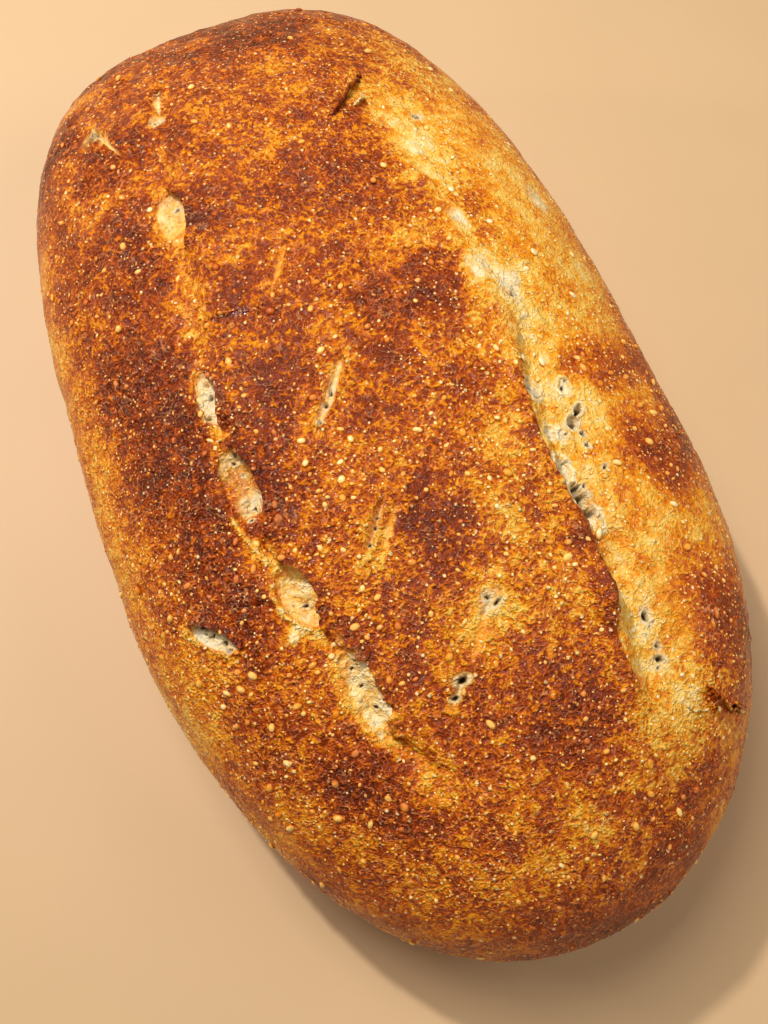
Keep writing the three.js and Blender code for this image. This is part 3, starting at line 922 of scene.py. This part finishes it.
class Socket:
    """A node's output, or a number, in an expression that adds Math nodes."""

    def __init__(self, graph, source):
        self.graph, self.source = graph, source

    def math(self, operation, *others):
        inputs = dict(enumerate([self, *others]))
        return self.graph.node("ShaderNodeMath", {"operation": operation}, inputs)

    def __add__(self, other):
        return self.math("ADD", other)

    __radd__ = __add__

    def __sub__(self, other):
        return self.math("SUBTRACT", other)

    def __rsub__(self, other):
        return self.graph.node("ShaderNodeMath", {"operation": "SUBTRACT"}, {0: other, 1: self})

    def __mul__(self, other):
        return self.math("MULTIPLY", other)

    __rmul__ = __mul__

    def __truediv__(self, other):
        return self.math("DIVIDE", other)

    def __pow__(self, power):
        return self.math("POWER", power)

    def absolute(self):
        return self.math("ABSOLUTE")

    def smooth_above(self, least, distance):
        return self.math("SMOOTH_MAX", least, distance)

    def smooth_below(self, most, distance):
        return self.math("SMOOTH_MIN", most, distance)

    def clamp(self):
        return self.graph.node("ShaderNodeClamp", {}, {0: self})

    def step(self, start, end):
        settings = {"interpolation_type": "SMOOTHSTEP"}
        inputs = {0: self, 1: start, 2: end, 3: 0.0, 4: 1.0}
        return self.graph.node("ShaderNodeMapRange", settings, inputs)


class Graph:
    """The nodes of one material."""

    def __init__(self, name):
        self.material = bpy.data.materials.new(name)
        self.material.use_nodes = True
        self.tree = self.material.node_tree
        self.shader = self.tree.nodes["Principled BSDF"]

    def node(self, kind, settings=None, inputs=None, output=0):
        """A new node with its settings made first, then its sockets; returns one of its outputs."""
        made = self.tree.nodes.new(kind)
        for name, value in (settings or {}).items():
            if name == "stops":
                self.set_stops(made.color_ramp, value)
            else:
                setattr(made, name, value)
        for key, value in (inputs or {}).items():
            self.feed(made.inputs[key], value)
        return Socket(self, made.outputs[output])

    def set_stops(self, ramp, stops):
        while len(ramp.elements) < len(stops):
            ramp.elements.new(1.0)
        for element, (position, colour) in zip(ramp.elements, stops):
            element.position = position
            element.color = (*colour, 1.0)

    def feed(self, socket, value):
        if isinstance(value, Socket):
            self.tree.links.new(value.source, socket)
        elif socket.type == "RGBA":
            socket.default_value = (*value, 1.0)
        else:
            socket.default_value = value

    def surface(self, **inputs):
        for name, value in inputs.items():
            self.feed(self.shader.inputs[name.replace("_", " ")], value)

    def millimetres(self):
        """Object coordinates in millimetres."""
        place = self.node("ShaderNodeTexCoord", output="Object")
        return self.node("ShaderNodeVectorMath", {"operation": "SCALE"}, {0: place, "Scale": 1 / MM})

    def attribute(self, name):
        return self.node("ShaderNodeAttribute", {"attribute_name": name}, output="Fac")

    def clouds(self, place, size, detail, distortion=0.0):
        """Noise whose lumps are about the given size in millimetres, from 0 to 1."""
        inputs = {"Vector": place, "Scale": 1 / size, "Detail": detail, "Distortion": distortion}
        return self.node("ShaderNodeTexNoise", {"noise_type": "FBM"}, inputs)

    def warp(self, place, size, amount):
        """The places moved about by noise, by up to the given millimetres."""
        noise_inputs = {"Vector": place, "Scale": 1 / size, "Detail": 1.0}
        moves = self.node("ShaderNodeTexNoise", {}, noise_inputs, "Color")
        inputs = {0: moves, 1: (amount, amount, amount), 2: place}
        return self.node("ShaderNodeVectorMath", {"operation": "MULTIPLY_ADD"}, inputs)

    def spots(self, place, spacing, smallest, largest):
        """Round spots of random size: the height of a low dome over each, and its random tone."""
        settings = {"feature": "F1", "distance": "EUCLIDEAN"}
        inputs = {"Vector": place, "Scale": 1 / spacing}
        distance = self.node("ShaderNodeTexVoronoi", settings, inputs, "Distance")
        source = distance.source.node.outputs["Color"]
        parts = self.node("ShaderNodeSeparateColor", {}, {0: Socket(self, source)}, "Red")
        tone = Socket(self, parts.source.node.outputs["Green"])
        radius = parts * (largest - smallest) / spacing + smallest / spacing
        share = distance / radius
        return (1 - share * share).clamp(), tone

    def mix(self, share, first, second):
        settings = {"data_type": "RGBA", "blend_type": "MIX"}
        return self.node("ShaderNodeMix", settings, {0: share, 6: first, 7: second}, 2)


def linear(code):
    """The red, green and blue of a colour's six-digit web code, as light."""
    parts = [int(code[i:i + 2], 16) / 255 for i in (0, 2, 4)]
    return [c / 12.92 if c <= 0.04045 else ((c + 0.055) / 1.055) ** 2.4 for c in parts]


# Noise patterns of the crust's material: [size in millimetres, detail, distortion].
BROAD = [9, 2.0, 0.6]
PATCHY = [4.2, 2.0, 1.2]
MEDIUM = [2.3, 1.0, 1.4]
FINE = [1.25, 0.5, 1.6]
YELLOWED = [3.4, 3.0, 0.6]
# Round spots of the crust's material: [spacing, smallest radius, largest radius], in millimetres.
BEADS = [2.3, 0.2, 0.85]
GRAINS = [1.5, 0.14, 0.6]
PORES = [3.1, 0.05, 0.32]


def crust_material(settings, name, blistered=False):
    """Browned crust that passes from pale crumb to nearly burnt, with micro blisters and wrinkles."""
    g = Graph(name)
    place = g.millimetres()
    level = g.attribute("browning")
    crumb = g.attribute("crumb")
    dusk = g.attribute("dusk")
    broad = g.clouds(place, *BROAD) - 0.5
    medium = g.clouds(place, *MEDIUM) - 0.5
    fine = g.clouds(place, *FINE) - 0.5
    curls = (1 - 2 * (g.clouds(g.warp(place, 1.8, 1.3), 1.5, 0.0) - 0.5).absolute()).step(0.84, 0.97)
    # How baked each place is: mottled, darker in the creases as painted shade, and paler on the tiny
    # blisters, whose tops carry painted glints.
    if blistered:
        lift = g.attribute("lift")
        tone = g.attribute("tone")
        # Each blister darkens towards its foot, painted shade where it meets the crust, and pales towards
        # its top, partly its own thin skin and partly a painted highlight.
        level = 0.02 + level * (0.4 + 0.5 * tone) + 0.1 * tone - 0.2 * lift + 0.34 * (1 - lift) ** 4.0
        level = level + 0.2 * fine + 0.2 * medium
        height = 0.15 * fine + 0.1 * medium
        tip_glint_share = lift * 0.3 * (1 - tone)
    else:
        calm = g.attribute("soft")
        patchy = g.clouds(place, *PATCHY) - 0.5
        beads, bead_tone = g.spots(place, *BEADS)
        grains, grain_tone = g.spots(place, *GRAINS)
        pores, _ = g.spots(place, *PORES)
        level = 1.2 * level - 0.05
        strength = (0.5 + 1.1 * level) * (1 - 0.6 * calm)
        # The curls' share of paler is a painted highlight on the skin's curled ridges; the beads and
        # grains are its small pale blisters.
        paler = beads * (0.05 + 0.3 * bead_tone) + grains * (0.04 + 0.26 * grain_tone) + 0.16 * curls
        # This dark noise lies where the bump relief is lowest, so it paints shade into the creases as
        # well as mottling the browning.
        darker = 0.9 * medium + 0.55 * fine
        lightest, darkest = 0.42 * level, 0.5 * level + 0.66
        level = level + (0.4 + 0.6 * level) * (1 - 0.5 * calm) * (broad + 1.2 * patchy)
        level = level + strength * (darker - paler)
        level = level.smooth_above(lightest, 0.3).smooth_below(darkest, 0.3)
        level = level + pores * 0.6 * (1 - level)
        height = 0.5 * beads + 0.34 * grains + 0.2 * curls - 0.6 * fine - 1.1 * medium
        height = height * (1 - 0.7 * calm)
        # Cream cores of the beads and grains: pale blister tops, with painted glints on them.
        glint_cores = beads.step(0.6, 0.9) * bead_tone.step(0.3, 0.5)
        glint_cores = glint_cores + grains.step(0.6, 0.9) * grain_tone.step(0.52, 0.62)
        # The curled ridges, tinted pale as a painted sheen.
        wisp_sheen = curls * patchy.step(-0.02, 0.1)
        tip_glint_share = (0.9 * glint_cores).clamp()
    # The skin, then the crumb where it is open, then painted shade inside the pores.
    stops = [
        (0.0, settings.pale), (0.14, settings.yellow), (0.28, settings.golden), (0.44, settings.orange),
        (0.6, settings.brown), (1.0, settings.dark),
    ]
    skin = g.node("ShaderNodeValToRGB", {"stops": stops}, {0: 0.83 * level})
    # Leathery dark skin is tinted purplish: a painted sheen of reflected light.
    leather_sheen = (dusk * (medium * 3.0 + 0.7) * level.step(0.45, 0.7)).clamp()
    skin = g.mix(leather_sheen * 0.45, skin, settings.dusk)
    if not blistered:
        skin = g.mix(wisp_sheen * 0.3, skin, settings.wisp_sheen)
    skin = g.mix(tip_glint_share, skin, settings.pale_tips_and_glints)
    yellowed = g.clouds(place, *YELLOWED).step(0.38, 0.64) * (1 - 0.7 * crumb.step(0.75, 1.0))
    inner = g.mix(yellowed, settings.crumb, settings.pale)
    creamy = ((1.8 * medium + 1.4 * level + 0.6 * curls) * (1.3 - crumb)).clamp()
    inner = g.mix(creamy, inner, settings.yellow)
    colour = g.mix((crumb * 1.1).clamp(), skin, inner)
    colour = g.mix(g.attribute("hollow") * 0.9, colour, settings.hollow)
    roughness = (0.15 + 0.24 * broad + 0.1 * medium + 0.3 * crumb).smooth_above(0.07, 0.05)
    normal = g.node("ShaderNodeBump", {}, {"Strength": 1.0, "Distance": MM, "Height": height}, "Normal")
    g.surface(Base_Color=colour, Roughness=roughness, Normal=normal, Specular_IOR_Level=0.25)
    return g.material


def floor_material(settings):
    g = Graph("floor")
    place = g.millimetres()
    grain = g.clouds(place, 40, 3.0)
    darker = [0.94 * part for part in settings.floor]
    g.surface(Base_Color=g.mix(grain, settings.floor, darker), Roughness=0.6)
    return g.material


# Settings, in metres, degrees, watts and linear colours.

def size(name, description, default):
    return FloatProperty(name=name, description=description, default=default, unit="LENGTH", precision=5)


def degrees(name, description, default):
    turn = math.radians(default)
    return FloatProperty(name=name, description=description, default=turn, subtype="ANGLE")


def watts(name, description, default):
    return FloatProperty(name=name, description=description, default=default, unit="POWER")


def tint(name, description, code):
    return FloatVectorProperty(
        name=name, description=description, default=linear(code), subtype="COLOR", min=0, max=1
    )


class CrustSettings(bpy.types.PropertyGroup):
    square_size: size("Square size", "Spacing of the mesh on the flanks", 1.35 * MM)
    wrinkle_depth: size("Wrinkle depth", "Depth of the wrinkles in the dark skin", 0.65 * MM)
    seed: IntProperty(name="Seed", description="Start of the random draws", default=11)
    pale: tint("Pale", "Crumb-yellow skin of the open score", "FBE4B0")
    yellow: tint("Yellow", "Least baked crust", "F6C150")
    golden: tint("Golden", "Lightly baked crust", "EC900E")
    orange: tint("Orange", "Evenly baked crust", "CA6014")
    brown: tint("Brown", "Well baked crust", "A03E0E")
    dark: tint("Dark", "Nearly burnt crust", "4C1604")
    crumb: tint("Crumb", "Open crumb in the pockets", "DACDAE")
    # The purplish colour below is a painted sheen of reflected light on the leathery dark skin.
    dusk: tint("Dusk", "Leathery purplish skin", "803C2A")
    # This cream colour is the pale tops of the smallest blisters, with painted glints on them.
    pale_tips_and_glints: tint("Tips", "Dried tips of the smallest blisters", "FFE0A2")
    # This colour is a painted sheen on the skin's thin curled ridges.
    wisp_sheen: tint("Wisps", "Thin curled ridges of the skin", "E8A468")
    # This dark colour is painted shade inside the pores.
    hollow: tint("Hollow", "Inside of the pores", "2A1A0E")


class BlisterSettings(bpy.types.PropertyGroup):
    count: IntProperty(name="Blisters", description="How many blisters are made", default=1100, min=1)
    small_count: IntProperty(name="Small ones", description="How many small ones", default=5500, min=1)
    smallest: size("Smallest", "Smallest radius of a blister", 0.52 * MM)
    largest: size("Largest", "Largest radius of a blister", 1.35 * MM)
    small: size("Small", "Smallest radius of a small blister", 0.3 * MM)
    seed: IntProperty(name="Seed", description="Start of the random draws", default=5)


class StageSettings(bpy.types.PropertyGroup):
    azimuth: degrees("Azimuth", "Camera's turn round the loaf", -23.3)
    elevation: degrees("Elevation", "Camera's angle above the floor", 72)
    distance: size("Distance", "Camera's distance from what it looks at", 298 * MM)
    lens: FloatProperty(name="Lens", description="Focal length, in millimetres", default=37.97)
    key: watts("Key light", "Power of the main light", 4.0)
    glint: watts("Glint light", "Power of the small light", 4.8)
    fill: watts("Fill light", "Power of the second light", 1.8)
    window: watts("Window light", "Power of the low light", 0.9)
    near: watts("Near light", "Power of the light at the round end", 0.7)
    sky: FloatProperty(name="Sky", description="Brightness of the even light", default=0.12)
    floor: tint("Floor", "The plain floor", "D4AE80")


# Operators, one for each piece or group of like pieces.

BLISTERS = [  # [name, sides and rings of each dome, flatness, least gap as a share of the radii]
    ["blisters", 8, 3, 0.5, 1.05],
    ["small_blisters", 6, 2, 0.6, 1.0],
]
CAMERA_TARGET = (-5.5, -22.8, 30)
CLIP_START = 10
FLOOR_SIZE = 4000
SKY_COLOUR = (1.0, 0.89, 0.7, 1.0)
LIGHTS = [  # [name, place, width], in millimetres
    ["key", (-140, 330, 830), 400],
    ["glint", (-170, 450, 750), 40],
    ["fill", (560, -260, 560), 500],
    ["window", (-760, 500, 280), 60],
    ["near", (40, -880, 330), 150],
]


def finish_piece(piece, material, replaces=()):
    piece.data.materials.append(material)
    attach(piece, "root")
    if replaces:
        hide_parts(*replaces)


class LOAF_OT_crust(bpy.types.Operator):
    """Make the crust"""

    bl_idname = "loaf.crust"
    bl_label = "Crust"

    def execute(self, context):
        settings = context.scene.loaf_crust
        piece = make_crust(settings)
        finish_piece(piece, crust_material(settings, "baked_crust"), ["loaf"])
        return {"FINISHED"}


class LOAF_OT_blisters(bpy.types.Operator):
    """Make the blisters on the crust"""

    bl_idname = "loaf.blisters"
    bl_label = "Blisters"

    def execute(self, context):
        settings = context.scene.loaf_blisters
        draw = random.Random(settings.seed)
        scatter = Scatter(bpy.data.objects["crust"].data, draw)
        small, middling, large = settings.small / MM, settings.smallest / MM, settings.largest / MM
        wanted = (settings.count, middling, large), (settings.small_count, small, middling)
        found = [scatter.places(*sizes, gap) for sizes, (*_, gap) in zip(wanted, BLISTERS)]
        material = crust_material(context.scene.loaf_crust, "blister", True)
        for places, (name, sides, rings, flatness, _) in zip(found, BLISTERS):
            piece = join_domes(name, places, draw, dome_template(sides, rings), flatness)
            finish_piece(piece, material)
        return {"FINISHED"}


class LOAF_OT_ears(bpy.types.Operator):
    """Make the torn ears"""

    bl_idname = "loaf.ears"
    bl_label = "Ears"

    def execute(self, context):
        ears = make_ears(surface_tree(bpy.data.objects["crust"].data))
        finish_piece(ears, bpy.data.materials["baked_crust"])
        return {"FINISHED"}


class LOAF_OT_stage(bpy.types.Operator):
    """Make the camera, the lights and the floor"""

    bl_idname = "loaf.stage"
    bl_label = "Stage"

    def execute(self, context):
        settings = context.scene.loaf_stage
        scene = context.scene
        azimuth, elevation = settings.azimuth, settings.elevation
        back = Vector((
            math.sin(azimuth) * math.cos(elevation),
            -math.cos(azimuth) * math.cos(elevation),
            math.sin(elevation),
        ))
        right = Vector((math.cos(azimuth), math.sin(azimuth), 0))
        camera = bpy.data.objects.new("camera", bpy.data.cameras.new("camera"))
        camera.data.lens = settings.lens
        camera.data.clip_start = CLIP_START * MM
        turn = Matrix((right, back.cross(right), back)).transposed().to_4x4()
        spot = Vector(CAMERA_TARGET) * MM + back * settings.distance
        camera.matrix_world = Matrix.Translation(spot) @ turn
        scene.collection.objects.link(camera)
        scene.camera = camera
        scene.view_settings.view_transform = "Standard"
        for name, place, width in LIGHTS:
            self.light(scene, name, place, getattr(settings, name), width)
        world = bpy.data.worlds.new("sky")
        world.use_nodes = True
        background = world.node_tree.nodes["Background"]
        background.inputs["Color"].default_value = SKY_COLOUR
        background.inputs["Strength"].default_value = settings.sky
        scene.world = world
        bm = bmesh.new()
        bmesh.ops.create_grid(bm, x_segments=1, y_segments=1, size=FLOOR_SIZE * MM / 2)
        floor = write_mesh("floor", bm)
        floor.data.materials.append(floor_material(settings))
        return {"FINISHED"}

    def light(self, scene, name, place, power, width):
        lamp = bpy.data.objects.new(name, bpy.data.lights.new(name, "AREA"))
        lamp.data.energy = power
        lamp.data.size = width * MM
        spot = Vector(place) * MM
        lamp.matrix_world = Matrix.Translation(spot) @ spot.to_track_quat("Z", "Y").to_matrix().to_4x4()
        scene.collection.objects.link(lamp)


class LOAF_PT_panel(bpy.types.Panel):
    """The loaf's steps, in the sidebar"""

    bl_idname = "LOAF_PT_panel"
    bl_label = "Loaf"
    bl_space_type = "VIEW_3D"
    bl_region_type = "UI"
    bl_category = "Loaf"

    def draw(self, context):
        for settings, operators in STEPS.items():
            box = self.layout.box()
            group = getattr(context.scene, settings)
            for name in group.__annotations__:
                box.prop(group, name)
            for operator in operators:
                box.operator(operator)


STEPS = {
    "loaf_crust": ["loaf.crust"],
    "loaf_blisters": ["loaf.blisters", "loaf.ears"],
    "loaf_stage": ["loaf.stage"],
}
SETTINGS = {"loaf_crust": CrustSettings, "loaf_blisters": BlisterSettings, "loaf_stage": StageSettings}
CLASSES = [
    *SETTINGS.values(), LOAF_OT_crust, LOAF_OT_blisters, LOAF_OT_ears, LOAF_OT_stage, LOAF_PT_panel,
]


def register():
    for item in CLASSES:
        bpy.utils.register_class(item)
    for name, group in SETTINGS.items():
        setattr(bpy.types.Scene, name, PointerProperty(type=group))


def unregister():
    for name in SETTINGS:
        delattr(bpy.types.Scene, name)
    for item in reversed(CLASSES):
        bpy.utils.unregister_class(item)


def main():
    register()
    bpy.ops.loaf.crust()
    bpy.ops.loaf.blisters()
    bpy.ops.loaf.ears()
    bpy.ops.loaf.stage()


if __name__ == "__main__":
    main()
